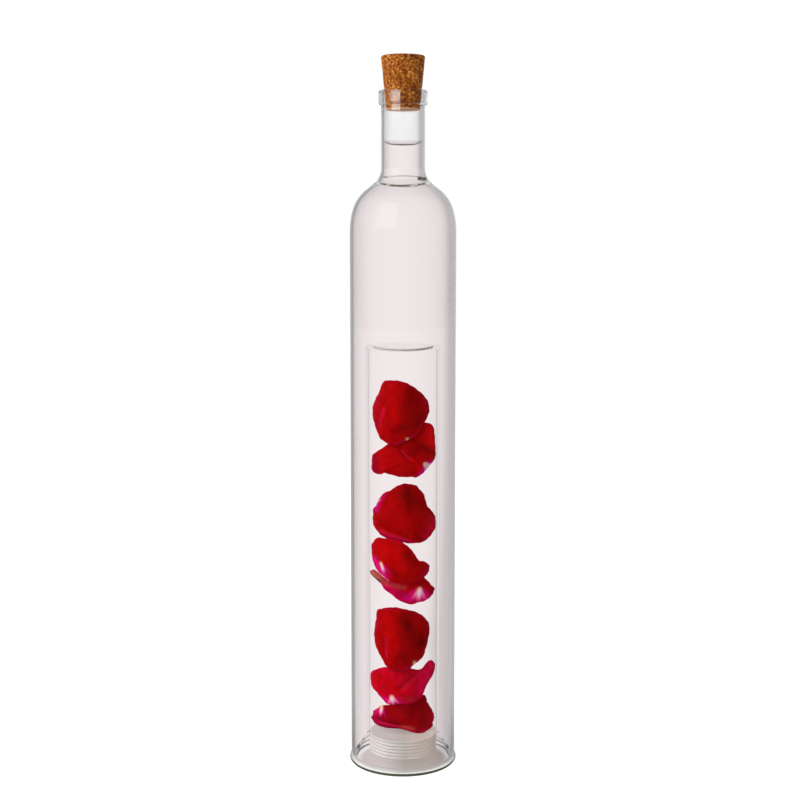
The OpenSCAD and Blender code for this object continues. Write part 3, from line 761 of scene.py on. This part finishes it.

# Each petal's outline is drawn as seen from the front, in shares of its half width and half
# height, and so are its middle (0, 0 unless given), its claw and the two ends that each row of
# its folds (then width and rise in mm) and of its strokes of colour (then width in mm, colour and
# strength) starts with. wrap_share is 1 where it follows the tube's wall and 0 where it spans it.
# claw_mm is how wide the yellow is, how long and how wide the white, and how wide the magenta.
# Many strokes paint light and shade: lit and shaded zones in bright and deep reds, and highlights in pinks
# along folds; light scales each petal's colours as a painted brightness
PETALS = [dict(
    number=1, light=0.87, place_mm=(-1.05, 185.2), half_mm=(14.35, 16.6), wrap_share=1,
    claw_shares=(0.22, -0.78), claw_run=(0.3, -0.95), claw_mm=(0.7, 0.6, 0.6, 1.5), base=RED, rim_share=0.5,
    outline_shares=[
        (-0.61, 0.95), (-0.3, 1), (0.05, 0.97), (0.33, 0.86), (0.61, 0.68), (0.82, 0.5), (0.96, 0.29),
        (1, 0.08), (0.96, -0.1), (0.84, -0.3), (0.64, -0.57), (0.47, -0.73), (0.23, -0.82), (0.02, -0.92),
        (-0.19, -1), (-0.4, -0.98), (-0.71, -0.82), (-0.84, -0.61), (-0.94, -0.37), (-1, -0.13),
        (-0.99, 0.14), (-0.91, 0.35), (-0.78, 0.59), (-0.7, 0.77),
    ],
    folds=[
        (-0.6, 0.2, -0.78, -0.45, 1.3, 0.5), (0.45, 0.7, 0.2, -0.4, 3.5, 1),
        (0.75, -0.2, 0.5, -0.6, 1.5, 0.5), (-0.3, -0.6, -0.1, -0.9, 1.8, 0.5),
    ],
    strokes=[
        (-0.3, 0.8, -0.23, -0.3, 3.2, LIT_RED, 0.75), (0.47, 0.6, 0.47, -0.3, 4, SHADED_RED, 0.6),
        (-0.16, -0.5, 0.1, -0.45, 2.6, SHADED_RED, 0.6), (-0.6, 0.1, -0.78, -0.41, 0.8, FOLD_HIGHLIGHT_PINK, 0.9),
        (-0.95, 0.1, -0.75, 0.6, 1.6, CRIMSON, 0.5), (-0.12, -1, 0.5, -0.72, 1, MAGENTA, 0.7),
        (0.8, 0.45, 0.95, 0.1, 1.2, CRIMSON, 0.5),
    ],
), dict(
    number=2, light=1, place_mm=(0.25, 165.4), half_mm=(16.5, 14), wrap_share=0.7,
    claw_shares=(0.645, -0.5), claw_run=(0.66, -0.75), claw_mm=(0.6, 3.4, 2, 4.4), base=RED, rim_share=0.3,
    middle_shares=(0.2, -0.2),
    outline_shares=[
        (0.65, 1), (0.78, 0.98), (0.9, 0.86), (0.96, 0.64), (0.98, 0.31), (1, -0.05), (1, -0.3),
        (0.94, -0.45), (0.76, -0.66), (0.61, -0.85), (0.41, -1), (0.21, -0.98), (-0.09, -0.98),
        (-0.34, -0.92), (-0.61, -0.85), (-0.7, -0.92), (-0.83, -0.92), (-0.96, -0.84), (-1, -0.63),
        (-0.98, -0.45), (-0.95, -0.21), (-0.73, 0), (-0.49, 0.22), (-0.18, 0.46), (0.21, 0.67),
        (0.46, 0.85),
    ],
    folds=[
        (-0.06, 0, 0.4, -0.59, 1.2, 0.9), (-0.8, -0.3, -0.85, -0.8, 2, 0.6),
        (0.8, 0.8, 0.5, 0.1, 2.2, -0.5), (0.95, -0.2, 0.6, 0, 1.5, 0.4),
    ],
    strokes=[
        (0.3, 0.6, 0.8, 0.5, 3, LIT_RED, 0.5), (0.5, 0.1, 0.2, -0.1, 2.5, SHADED_RED, 0.6),
        (-0.3, -0.3, -0.5, -0.6, 3.5, LIT_RED, 0.2), (0.2, -0.3, 0.5, -0.75, 1.8, LIT_RED, 0.7),
        (-0.06, 0, 0.2, -0.33, 0.55, HIGHLIGHT_PINK, 0.9), (-0.95, -0.3, -0.85, -0.85, 3.2, DARK_CRIMSON, 0.8),
        (0.82, 0.75, 0.9, 0.15, 2.8, LIVE_RED, 0.9), (0.35, 0.35, 0.9, -0.15, 0.9, SHADED_RED, 0.8),
        (0.75, -0.3, 0.6, -0.45, 2, LIT_RED, 0.6), (0.9, -0.48, 0.45, -0.95, 0.9, HOT_MAGENTA, 0.9),
        (0.95, 0.5, 0.99, -0.1, 0.8, CRIMSON, 0.5),
    ],
), dict(
    number=3, light=0.87, place_mm=(0.7, 133.3), half_mm=(16.25, 15.5), wrap_share=0.85,
    claw_shares=(-0.79, 0.42), claw_run=(-0.75, -0.66), claw_mm=(0.5, 2, 0.9, 2.6), base=RED,
    rim_share=0.35, middle_shares=(0, -0.1),
    outline_shares=[
        (0, 1), (0.19, 0.98), (0.37, 0.92), (0.5, 0.77), (0.62, 0.59), (0.67, 0.39), (0.73, 0.19),
        (0.87, 0), (0.98, -0.24), (1, -0.43), (0.98, -0.63), (0.84, -0.8), (0.65, -0.96), (0.43, -1),
        (0.09, -0.99), (-0.22, -0.93), (-0.53, -0.86), (-0.78, -0.73), (-0.96, -0.5), (-1, -0.3),
        (-0.98, -0.1), (-1, 0.03), (-0.9, 0.19), (-0.81, 0.42), (-0.65, 0.65), (-0.4, 0.79), (-0.22, 0.93),
    ],
    folds=[
        (-0.78, -0.5, 0.1, -0.8, 1.3, 0.8), (0.2, 0.8, 0.25, 0.2, 3, 0.9),
        (-0.5, 0.3, -0.2, -0.1, 2.5, 0.5), (0.75, -0.4, 0.5, -0.7, 2, 0.5),
    ],
    strokes=[
        (0.1, 0.75, 0.3, 0.35, 4.5, SHADED_RED, 0.75), (-0.1, -0.25, 0.5, -0.4, 4.5, LIT_RED, 0.6),
        (-0.4, 0.3, -0.5, 0, 2.2, LIT_RED, 0.35), (-0.8, -0.25, -0.5, -0.35, 1.6, SHADED_RED, 0.4),
        (-0.75, -0.62, 0.05, -0.88, 0.7, HIGHLIGHT_PINK, 0.8), (-0.75, -0.75, 0.3, -0.98, 1, MAGENTA, 0.6),
        (0.95, -0.3, 0.7, -0.8, 2.6, LIVE_CRIMSON, 0.75), (-0.84, 0.3, -0.9, 0.06, 1.2, HOT_MAGENTA, 0.9),
        (-0.65, 0.6, -0.75, 0.4, 1, HOT_MAGENTA, 0.5),
    ],
), dict(
    number=4, light=0.97, place_mm=(-1.25, 109.2), half_mm=(14.9, 11.45), wrap_share=1,
    claw_shares=(-0.66, -0.15), claw_run=(0.3, -0.95), claw_mm=(0.6, 3.4, 1.1, 2.6), base=RED,
    rim_share=0.3, middle_shares=(-0.1, -0.1),
    outline_shares=[
        (-0.38, 0.98), (-0.04, 0.92), (0.23, 0.7), (0.37, 0.51), (0.51, 0.24), (0.64, -0.01), (0.78, -0.05),
        (0.93, -0.21), (1, -0.39), (0.93, -0.66), (0.74, -0.86), (0.44, -0.98), (0.06, -1), (-0.31, -0.98),
        (-0.58, -0.75), (-0.77, -0.57), (-0.89, -0.35), (-0.97, -0.07), (-0.99, 0.2), (-1, 0.51),
        (-0.89, 0.83), (-0.72, 1),
    ],
    folds=[
        (-0.3, 0.8, -0.1, -0.2, 3, 0.6), (0.4, 0.3, 0.5, -0.6, 2.5, 0.7), (-0.7, 0.6, -0.6, 0, 1.8, 0.4),
    ],
    strokes=[
        (-0.5, 0.6, -0.1, 0.2, 3.4, LIT_RED, 0.7), (0.1, -0.2, 0.4, -0.6, 2.8, LIT_RED, 0.4),
        (0.25, 0.3, 0.5, -0.1, 1.8, SHADED_RED, 0.5), (-0.4, -0.4, -0.1, -0.7, 2, SHADED_RED, 0.35),
        (-0.9, -0.05, -0.5, -0.8, 1.5, HOT_MAGENTA, 0.75), (0.97, -0.4, 0.8, -0.75, 1.1, MAGENTA, 0.6),
    ],
), dict(
    number=5, light=1.2, place_mm=(-0.4, 93.1), half_mm=(16.7, 8.8), wrap_share=0.5, claw_shares=(0.54, 0),
    claw_run=(-0.1, -0.99), claw_mm=(0.8, 4.6, 2.3, 6), base=RED, rim_share=0.3, middle_shares=(-0.2, 0.1),
    outline_shares=[
        (-1, 0.85), (-0.9, 1), (-0.8, 0.94), (-0.65, 0.64), (-0.54, 0.42), (-0.33, 0.42), (0.01, 0.55),
        (0.34, 0.61), (0.61, 0.64), (0.79, 0.38), (0.91, 0.08), (1, -0.13), (0.99, -0.36), (0.85, -0.69),
        (0.67, -0.84), (0.49, -0.9), (0.31, -1), (0.07, -0.9), (-0.15, -0.69), (-0.33, -0.39),
        (-0.54, -0.13), (-0.65, 0.17), (-0.74, 0.32), (-0.87, 0.53), (-0.98, 0.7),
    ],
    folds=[
        (-0.6, 0.3, 0.2, -0.2, 1.3, 0.9), (0.3, 0.3, 0.8, 0, 2.2, -0.5), (-0.9, 0.8, -0.7, 0.4, 1.2, 0.5),
    ],
    strokes=[
        (0.3, 0.4, 0.7, 0.2, 2.4, SHADED_RED, 0.3), (-0.55, 0.1, 0.1, -0.55, 2.6, PLUM, 0.85),
        (-0.5, 0.3, 0.05, 0.05, 1.3, DUSTY_ROSE, 0.8), (-0.97, 0.9, -0.72, 0.45, 2.2, BROWN, 1),
        (-0.98, 0.68, -0.72, 0.32, 0.5, TIP_EDGE_BROWN, 0.85), (-0.76, 0.42, -0.7, 0.36, 0.6, TIP_EDGE_BLACK, 0.9),
        (-0.35, -0.25, 0.2, -0.85, 1, MAGENTA, 0.7), (0.15, -0.6, 0.75, -0.7, 1.6, HOT_MAGENTA, 0.6),
        (0.92, -0.1, 0.86, -0.4, 1.2, SHADED_RED, 0.7),
    ],
), dict(
    number=6, light=0.86, place_mm=(-0.55, 68.2), half_mm=(14.25, 17), wrap_share=1,
    claw_shares=(0.44, -0.7), claw_run=(0.3, -0.95), claw_mm=(0.7, 0.6, 0.6, 1.2), base=RED, rim_share=0.5,
    outline_shares=[
        (-0.87, 0.84), (-0.52, 0.97), (-0.2, 1), (0.16, 0.94), (0.52, 0.83), (0.77, 0.67), (0.93, 0.48),
        (1, 0.26), (0.95, -0.06), (0.85, -0.37), (0.73, -0.61), (0.44, -0.78), (0.24, -0.92), (-0.08, -1),
        (-0.36, -0.96), (-0.56, -0.85), (-0.77, -0.57), (-0.93, -0.33), (-1, -0.02), (-0.98, 0.26),
        (-0.93, 0.53),
    ],
    folds=[
        (-0.65, 0.2, -0.6, -0.6, 1.6, 0.5), (0.35, 0.7, 0.3, -0.3, 3.5, 1),
        (0.75, -0.3, 0.55, -0.6, 1.5, 0.5), (-0.1, -0.6, 0, -0.9, 1.8, 0.5),
    ],
    strokes=[
        (-0.45, 0.6, -0.3, -0.3, 3.2, LIT_RED, 0.8), (0.08, 0.6, 0.65, -0.12, 3.4, SHADED_RED, 0.8),
        (0.6, -0.1, 0.45, -0.35, 2.6, SHADED_RED, 0.6), (0, -0.54, 0.1, -0.6, 2.6, SHADED_RED, 0.6),
        (-0.56, 0, -0.53, -0.55, 0.75, FOLD_HIGHLIGHT_PINK, 0.85), (-0.97, 0.2, -0.9, 0.6, 1.4, CRIMSON, 0.5),
        (0.1, -0.95, 0.65, -0.68, 1, MAGENTA, 0.6),
    ],
), dict(
    number=7, light=1.1, place_mm=(-0.2, 43.4), half_mm=(16.9, 11.4), wrap_share=0.75,
    claw_shares=(-0.33, -0.56), claw_run=(0.2, -0.98), claw_mm=(0.7, 3.2, 1.9, 4.2), base=ROSE_RED,
    rim_share=0.7, middle_shares=(0.2, -0.1),
    outline_shares=[
        (-0.09, 0.84), (0.25, 0.74), (0.45, 0.65), (0.58, 0.66), (0.72, 0.9), (0.82, 1), (0.92, 0.92),
        (1, 0.71), (0.97, 0.35), (0.75, -0.12), (0.65, -0.44), (0.55, -0.75), (0.25, -0.91), (-0.09, -0.93),
        (-0.36, -1), (-0.52, -0.91), (-0.66, -0.7), (-0.79, -0.51), (-0.96, -0.28), (-1, 0.09),
        (-0.96, 0.35), (-0.76, 0.61), (-0.47, 0.77),
    ],
    folds=[
        (0.55, 0.6, -0.05, -0.2, 1.5, 1), (-0.7, 0.3, -0.5, -0.3, 2.5, 0.6),
        (0.9, 0.8, 0.75, 0.1, 1.6, 0.6),
    ],
    strokes=[
        (-0.7, 0.1, -0.35, 0, 3.2, RED, 0.7), (-0.3, -0.2, 0, -0.4, 2.4, LIT_RED, 0.5),
        (0.2, 0.5, -0.1, 0.1, 2, SOFT_CRIMSON, 0.4), (0.55, 0.62, 0, -0.15, 1, FOLD_HIGHLIGHT_ROSE, 0.6),
        (0.85, 0.8, 0.6, -0.3, 3.2, LOBE_CRIMSON, 0.9), (-0.6, -0.7, -0.05, -0.92, 0.9, HOT_MAGENTA, 0.7),
        (0.05, -0.65, 0.35, -0.7, 1.2, BROWNISH_ROSE, 0.5),
    ],
), dict(
    number=8, light=1.3, place_mm=(-0.1, 25.95), half_mm=(16.5, 10.2), wrap_share=0.55,
    claw_shares=(-0.66, 0.38), claw_run=(-0.15, -0.99), claw_mm=(0.6, 2.9, 0.8, 1.9), base=DARK_RED,
    rim_share=0.35, middle_shares=(0.1, -0.1),
    outline_shares=[
        (-0.38, 0.5), (-0.1, 0.65), (0.2, 0.85), (0.5, 0.98), (0.7, 0.96), (0.78, 0.59), (0.92, 0.13),
        (1, -0.28), (0.96, -0.57), (0.92, -0.81), (0.64, -1), (0.46, -1), (0.18, -0.88), (-0.1, -0.75),
        (-0.45, -0.75), (-0.74, -0.69), (-0.93, -0.52), (-1, -0.34), (-0.95, -0.17), (-0.93, 0.04),
        (-0.74, 0.33), (-0.63, 0.45),
    ],
    folds=[
        (-0.9, -0.3, 0.1, -0.6, 1.3, 0.8), (0.4, 0.7, 0.3, -0.3, 3, 0.8), (0.8, 0, 0.7, -0.6, 2, 0.5),
    ],
    strokes=[
        (0.3, 0.6, 0.4, -0.1, 3.2, SHADED_RED, 0.3), (0.8, 0.2, 0.8, -0.6, 3, MID_RED, 0.7),
        (-0.2, 0.1, 0.2, -0.35, 2.4, LIT_RED, 0.2), (-0.97, -0.35, -0.1, -0.75, 1.2, DARK_PLUM, 0.8),
        (-0.74, -0.48, -0.1, -0.6, 0.5, HIGHLIGHT_PINK, 0.6), (0, -0.62, 0.35, -0.74, 1, HIGHLIGHT_RED, 0.6),
        (0.2, -0.92, 0.9, -0.85, 1.3, RIM_CRIMSON, 0.5), (0.97, -0.1, 0.93, -0.7, 1.3, RIM_CRIMSON, 0.4),
        (-0.88, -0.1, -0.72, 0.25, 1, MAGENTA, 0.6),
    ],
)]

# Waves round a petal, in rows of their height, their number and how the petal's number turns them
RIM_RIPPLE_SHARES = ((0.006, 19, 1), (0.005, 33, 2))
RIM_INSET_SHARE = 0.004
SURFACE_WAVES = ((1, 3, 1), (0.6, 7, 2.3))
WAVE_RISE_MM = 0.35
WAVE_SHARE = 0.6
# A petal that clings to the glass has no dips, and another has shallow ones
CLINGS_SHARE = 0.9
DEEPEST_DIP_MM = -0.6

# The claw's streaks, in rows of their strength and their number
COARSE_STREAK, COARSE_STREAKS = 0.16, 13
FINE_STREAK, FINE_STREAKS = 0.1, 31
CLAW_FAN_MM = 1.5
CLAW_START_MM = 0.9
CLAW_FADE_MM = 1.4
CLAW_NARROW_SHARE = 0.4
CLAW_WIDEST_SHARE = 1.4
MAGENTA_REACH_SHARE = 1.5
MAGENTA_STRENGTH = 0.8
YELLOW_AT_MM = 0.5
YELLOW_HALF_MM = 0.9
RIM_COLOUR_SHARE = 0.05


def smooth_loop(points, count):
    """A smooth closed line through the points, in evenly spaced steps."""
    p = np.array(points, float)
    n = len(p)
    fine = []
    for i in range(n):
        a, b, c, d = p[i - 1], p[i], p[(i + 1) % n], p[(i + 2) % n]
        for k in range(OUTLINE_STEPS):
            t = k / OUTLINE_STEPS
            bend = t * t * (2 * a - 5 * b + 4 * c - d) / 2
            fine.append(b + t * (c - a) / 2 + bend + t ** 3 * (3 * (b - c) + d - a) / 2)
    fine = np.array(fine + [fine[0]])
    run = np.concatenate([[0], np.cumsum(np.linalg.norm(np.diff(fine, axis=0), axis=1))])
    at = np.linspace(0, run[-1], count, endpoint=False)
    return np.stack([np.interp(at, run, fine[:, k]) for k in (0, 1)], axis=1)


def waves(rows, turn, number):
    return sum(height * np.sin(count * turn + phase * number) for height, count, phase in rows)


def near_line(petal, flat, ends, width):
    """1 on a petal's line between two ends, fading to 0 over the width beside it."""
    start, end = np.reshape(ends, (2, 2)) * np.array(petal["half_mm"])
    along = end - start
    t = np.clip(((flat - start) @ along) / max(along @ along, 1e-9), 0, 1)
    off = flat - start - t[:, None] * along
    return np.exp(-(off ** 2).sum(1) / width ** 2)


def mixed(colours, colour, share):
    return colours + share[:, None] * (np.array(colour) - colours)


def away_from_claw(petal, flat):
    return flat - np.array(petal["claw_shares"]) * np.array(petal["half_mm"])


def with_claw(petal, flat, colours):
    """The claw is yellow at its tip, then white, then magenta, in streaks that fan out to the rim."""
    away = away_from_claw(petal, flat)
    run = np.array(petal["claw_run"])
    along = away @ run
    aside = away @ np.array([-run[1], run[0]])
    turn = aside / (CLAW_FAN_MM + np.maximum(along, 0))
    streak = 1 + COARSE_STREAK * np.cos(COARSE_STREAKS * turn)
    streak += FINE_STREAK * np.sin(FINE_STREAKS * turn + petal["number"])
    begun = np.clip((along + CLAW_START_MM) / CLAW_FADE_MM, 0, 1)
    yellow_w, white_l, white_w, magenta_w = petal["claw_mm"]
    opened = CLAW_NARROW_SHARE + (1 - CLAW_NARROW_SHARE) * np.clip(along / white_l, 0, CLAW_WIDEST_SHARE)
    opened = streak * opened
    gone = np.maximum(along, 0) / (white_l * streak)
    magenta = np.exp(-(aside / (magenta_w * opened)) ** 4 - (gone / MAGENTA_REACH_SHARE) ** 4)
    colours = mixed(colours, HOT_MAGENTA, MAGENTA_STRENGTH * begun * magenta)
    colours = mixed(colours, WHITE_PINK, begun * np.exp(-(aside / (white_w * opened)) ** 4 - gone ** 4))
    yellow = np.exp(-((along - YELLOW_AT_MM) / YELLOW_HALF_MM) ** 2 - (aside / yellow_w) ** 2)
    return mixed(colours, YELLOW, yellow)


def petal_colours_and_shading(petal, flat, out):
    """The colour at each point, with its painted light and shade. flat is its place in mm from the petal's
    middle, seen from the front.
    """
    colours = np.tile(np.array(petal["base"], float), (len(flat), 1))
    for *ends, width, colour, strength in petal["strokes"]:
        colours = mixed(colours, colour, strength * near_line(petal, flat, ends, width))
    rim = np.exp(-((1 - out) / RIM_COLOUR_SHARE) ** 2)
    colours = mixed(colours, RIM_RED, petal["rim_share"] * rim)
    return np.minimum(with_claw(petal, flat, colours) * petal["light"], 1.0)


def middle_of(petal):
    return petal.get("middle_shares", (0, 0))


def petal_places(petal):
    """Each point's place in shares and how far out it is, from the middle in rings to the ragged rim."""
    middle = np.array(middle_of(petal), float)
    rim = smooth_loop(petal["outline_shares"], PETAL_SIDES)[::-1]
    turn = np.arctan2(rim[:, 1] - middle[1], rim[:, 0] - middle[0])
    ragged = waves(RIM_RIPPLE_SHARES, turn, petal["number"])
    rim = middle + (rim - middle) * (1 - RIM_INSET_SHARE + ragged)[:, None]
    shares = [middle[None, :]]
    outs = [np.zeros(1)]
    for ring in range(1, PETAL_RINGS + 1):
        out = (ring / PETAL_RINGS) ** RING_POWER
        shares.append(middle + out * (rim - middle))
        outs.append(np.full(PETAL_SIDES, out))
    return np.concatenate(shares), np.concatenate(outs)


def petal_layer(petal, shares, flat, out):
    """The leaf's middle layer, bent round the inside of the tube and folded."""
    seen = np.array(petal["place_mm"]) + flat
    reach = PETAL_REACH / MM
    x = np.clip(seen[:, 0], -reach, reach)
    depth = np.sqrt(reach ** 2 - x ** 2)
    relief = np.zeros(len(flat))
    for *ends, width, rise in petal["folds"]:
        relief += rise * near_line(petal, flat, ends, width)
    middle = middle_of(petal)
    around = np.arctan2(shares[:, 1] - middle[1], shares[:, 0] - middle[0])
    relief += WAVE_RISE_MM * out ** 3 * (1 + WAVE_SHARE * waves(SURFACE_WAVES, around, petal["number"]))
    wrap = petal["wrap_share"] - CUP_SHARE * out ** 2
    lowest = 0 if petal["wrap_share"] > CLINGS_SHARE else DEEPEST_DIP_MM
    y = -wrap * depth + np.maximum(relief, lowest)
    return np.stack([x, y, seen[:, 1]], axis=1) * MM


def petal_point(ring, i):
    return 0 if ring == 0 else 1 + (ring - 1) * PETAL_SIDES + i % PETAL_SIDES


def petal_faces():
    """The faces of one layer, as a fan round its middle and rings round the fan."""
    at = petal_point
    faces = [(at(0, 0), at(1, i), at(1, i + 1)) for i in range(PETAL_SIDES)]
    for ring in range(1, PETAL_RINGS):
        for i in range(PETAL_SIDES):
            faces.append((at(ring, i), at(ring + 1, i), at(ring + 1, i + 1), at(ring, i + 1)))
    return faces


def layer_normals(layer, faces):
    normals = np.zeros_like(layer)
    for face in faces:
        corners = layer[list(face)]
        normal = np.cross(corners[1] - corners[0], corners[2] - corners[0])
        for corner in face:
            normals[corner] += normal
    return normals / np.linalg.norm(normals, axis=1)[:, None]


def build_petal(petal, material):
    """A closed thin leaf: a front layer, a back layer and the edge between them."""
    shares, out = petal_places(petal)
    flat = shares * np.array(petal["half_mm"])
    layer = petal_layer(petal, shares, flat, out)
    faces = petal_faces()
    half_t = PETAL_T / 2 * (1 - RIM_THIN_SHARE * out ** 6)
    offset = layer_normals(layer, faces) * half_t[:, None]
    points = np.concatenate([layer + offset, layer - offset])
    count = len(layer)
    backs = [tuple(count + v for v in reversed(face)) for face in faces]
    rim = [petal_point(PETAL_RINGS, i) for i in range(PETAL_SIDES + 1)]
    edge = [(a, count + a, count + b, b) for a, b in zip(rim, rim[1:])]
    piece = mesh_piece("petal_%d" % petal["number"], points, faces + backs + edge, [material])
    colours = np.column_stack([petal_colours_and_shading(petal, flat, out), np.ones(count)])
    attribute = piece.data.attributes.new("petal_colour", "FLOAT_COLOR", "POINT")
    attribute.data.foreach_set("color", np.concatenate([colours, colours]).ravel())
    # The veins' coordinates: the turn round the claw, the distance from it and the petal's number
    away = away_from_claw(petal, flat)
    turn = np.arctan2(away[:, 1], away[:, 0])
    leaf = np.column_stack([turn, np.linalg.norm(away, axis=1), np.full(count, petal["number"])])
    attribute = piece.data.attributes.new("leaf", "FLOAT_VECTOR", "POINT")
    attribute.data.foreach_set("vector", np.concatenate([leaf, leaf]).ravel())
    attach(piece, "bottle")
    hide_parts("rose_petal_%d" % petal["number"])


petal_material = petal_surface()
for petal in PETALS:
    build_petal(petal, petal_material)


# What shows through the glass and in its mirrored light, to the left (-1) and right (1) behind it

def straight_behind(aside):
    """White, darker to the right, where a dark flag stands behind."""
    flag = times(between(aside, 0.06, 0.16, 0, 0.2), between(aside, 0.32, 0.45, 1, 0))
    return maths("SUBTRACT", between(aside, -0.06, 0.06, 0.93, 0.885), flag)


def mirrored_behind(aside):
    """What the glass's far faces mirror: palest straight behind the bottle."""
    palest = between(maths("ABSOLUTE", aside), 0.08, 0.2, 0.42, 0)
    return maths("ADD", palest, between(aside, -0.5, 0.5, 0.42, 0.56))


def is_turned_back(path):
    """1 for light that a glass face has mirrored on its way."""
    return maths("GREATER_THAN", path["Glossy Depth"], 0.5)


# The floor

FLOOR_HALF = 3.0
FLOOR_CORNERS = [(-1, -1), (1, -1), (1, 1), (-1, 1)]
FLOOR_GREY = (0.55, 0.55, 0.55)
FLOOR_SHADE = (0.35, 0.35, 0.35)
UNDER_FOOT_PAINTED_SHADOW = (0.12, 0.12, 0.12)
UNDER_FOOT_R = (20.5 * MM, 24 * MM)
UNDER_FOOT_REACH = (-18 * MM, 18 * MM)
NEAR_AXIS_R = 0.2
CAMERA_LEVEL = 0.77
SHADE_LEVEL = 0.37
FRONT_TO_BACK = (-0.1, 0.1)
FRONT_DARK = 0.07


def floor_surface():
    """White to the camera, also through glass, with the bottle's shadow, a painted shadow under the foot,
    and grey in mirrored light.
    """
    material = bpy.data.materials.new("floor_white")
    material.use_nodes = True
    tree = material.node_tree
    tree.nodes.clear()
    path = node(tree, "LightPath").outputs
    axes = object_axes(tree)
    x, y = axes["X"], axes["Y"]
    across = maths("SQRT", maths("ADD", times(x, x), times(y, y)))
    aside = maths("DIVIDE", x, maths("MAXIMUM", across, NEAR_AXIS_R))
    # Straight to the camera the floor is white; through glass it goes on where the surround ends
    behind = maths("SUBTRACT", straight_behind(aside), SHADE_LEVEL)
    level = maths("MAXIMUM", behind, times(path["Is Camera Ray"], CAMERA_LEVEL))
    # Painted shadow under the foot: a dimmer, warmer glow, deeper to the right, and a darker diffuse colour
    under = between(across, *UNDER_FOOT_R, 1, 0)
    under_foot_shadow = ramp(between(x, *UNDER_FOOT_REACH), [
        (0.0, (0.96, 0.88, 0.87)), (0.2, (0.92, 0.83, 0.81)),
        (0.5, (0.73, 0.65, 0.6)), (1.0, (0.75, 0.67, 0.61)),
    ])
    glow = node(tree, "Emission")
    fill(glow, {"Color": mix_colour("MIX", under, WHITE, under_foot_shadow), "Strength": level})
    shade = node(tree, "BsdfDiffuse")
    fill(shade, {"Color": mix_colour("MIX", under, FLOOR_SHADE, UNDER_FOOT_PAINTED_SHADOW)})
    white = fill(node(tree, "AddShader"), {0: shade.outputs[0], 1: glow.outputs[0]})
    plain = fill(node(tree, "BsdfDiffuse"), {"Color": FLOOR_GREY})
    seen = maths("MAXIMUM", path["Is Camera Ray"], path["Is Transmission Ray"])
    surface = mix_shaders(seen, plain.outputs[0], white.outputs[0])
    # What the glass mirrors is dark in front of the bottle and pale behind it
    strength = times(mirrored_behind(aside), between(y, *FRONT_TO_BACK, FRONT_DARK, 1))
    mirrored = fill(node(tree, "Emission"), {"Strength": strength})
    surface = mix_shaders(is_turned_back(path), surface, mirrored.outputs[0])
    fill(node(tree, "OutputMaterial"), {"Surface": surface})
    return material


floor_points = [(FLOOR_HALF * side, FLOOR_HALF * end, 0) for side, end in FLOOR_CORNERS]
floor = mesh_piece("floor", floor_points, [(0, 1, 2, 3)], [floor_surface()], smooth=False)


# The studio: a white surround with a wide soft light at the left of the camera

def build_world():
    """The surround is white, to the camera and through glass. What lights and mirrors in the bottle is
    a room that is dark in front, paler behind, and has a wide soft light high on the left."""
    world = bpy.data.worlds.new("studio")
    bpy.context.scene.world = world
    world.use_nodes = True
    tree = world.node_tree
    tree.nodes.clear()
    place = node(tree, "TexCoord").outputs["Generated"]
    x, y, z = fill(node(tree, "SeparateXYZ"), {0: place}).outputs
    # Angle round the vertical from the camera's side (0) to the left (90) and behind (180)
    angle = maths("ARCTAN2", times(x, -1.0), times(y, -1.0))

    def round_to(start, end, *levels):
        return between(angle, math.radians(start), math.radians(end), *levels)

    def shines(strength):
        made = node(tree, "Background")
        return fill(made, {"Color": WHITE, "Strength": strength}).outputs[0]

    soft_low, soft_high = (0.06, 0.08), (0.75, 0.85)
    soft_start, soft_mirrored_end, soft_lighting_end = (14, 16), (54, 78), (100, 115)
    mirrored_strength, lighting_strength = 2.8, 3.1
    soft = times(between(z, *soft_low), between(z, *soft_high, 1, 0), round_to(*soft_start))
    soft_mirrored = times(soft, round_to(*soft_mirrored_end, 1, 0), mirrored_strength)
    soft_lighting = times(soft, round_to(*soft_lighting_end, 1, 0), lighting_strength)
    mirrored = times(mirrored_behind(x), between(y, 0.3, 0.85, 0.03, 1))
    mirrored = shines(maths("ADD", mirrored, soft_mirrored))
    lighting = shines(maths("ADD", between(y, -1, 1, 0.42, 0.8), soft_lighting))
    path = node(tree, "LightPath").outputs
    straight = shines(straight_behind(x))
    through = mix_shaders(is_turned_back(path), straight, mirrored)
    room = mix_shaders(path["Is Glossy Ray"], lighting, mirrored)
    room = mix_shaders(path["Is Transmission Ray"], room, through)
    room = mix_shaders(path["Is Camera Ray"], room, shines(1.0))
    fill(node(tree, "OutputWorld"), {"Surface": room})


build_world()


# The camera

def build_camera():
    data = bpy.data.cameras.new("camera")
    camera = bpy.data.objects.new("camera", data)
    bpy.context.scene.collection.objects.link(camera)
    focal_px = 1413.0
    image_px = 800.0
    axis_px = 403.0
    eye_z = 0.28
    distance = 0.72
    tilt = 6.16
    data.sensor_width = 36.0
    data.lens = focal_px * data.sensor_width / image_px
    data.shift_y = -0.03
    data.clip_start = 0.01
    side = -(axis_px - image_px / 2) * distance / focal_px
    camera.location = (side, -distance, eye_z)
    camera.rotation_euler = (math.radians(90 - tilt), 0, 0)
    bpy.context.scene.camera = camera


build_camera()
bpy.context.scene.view_settings.view_transform = "Standard"
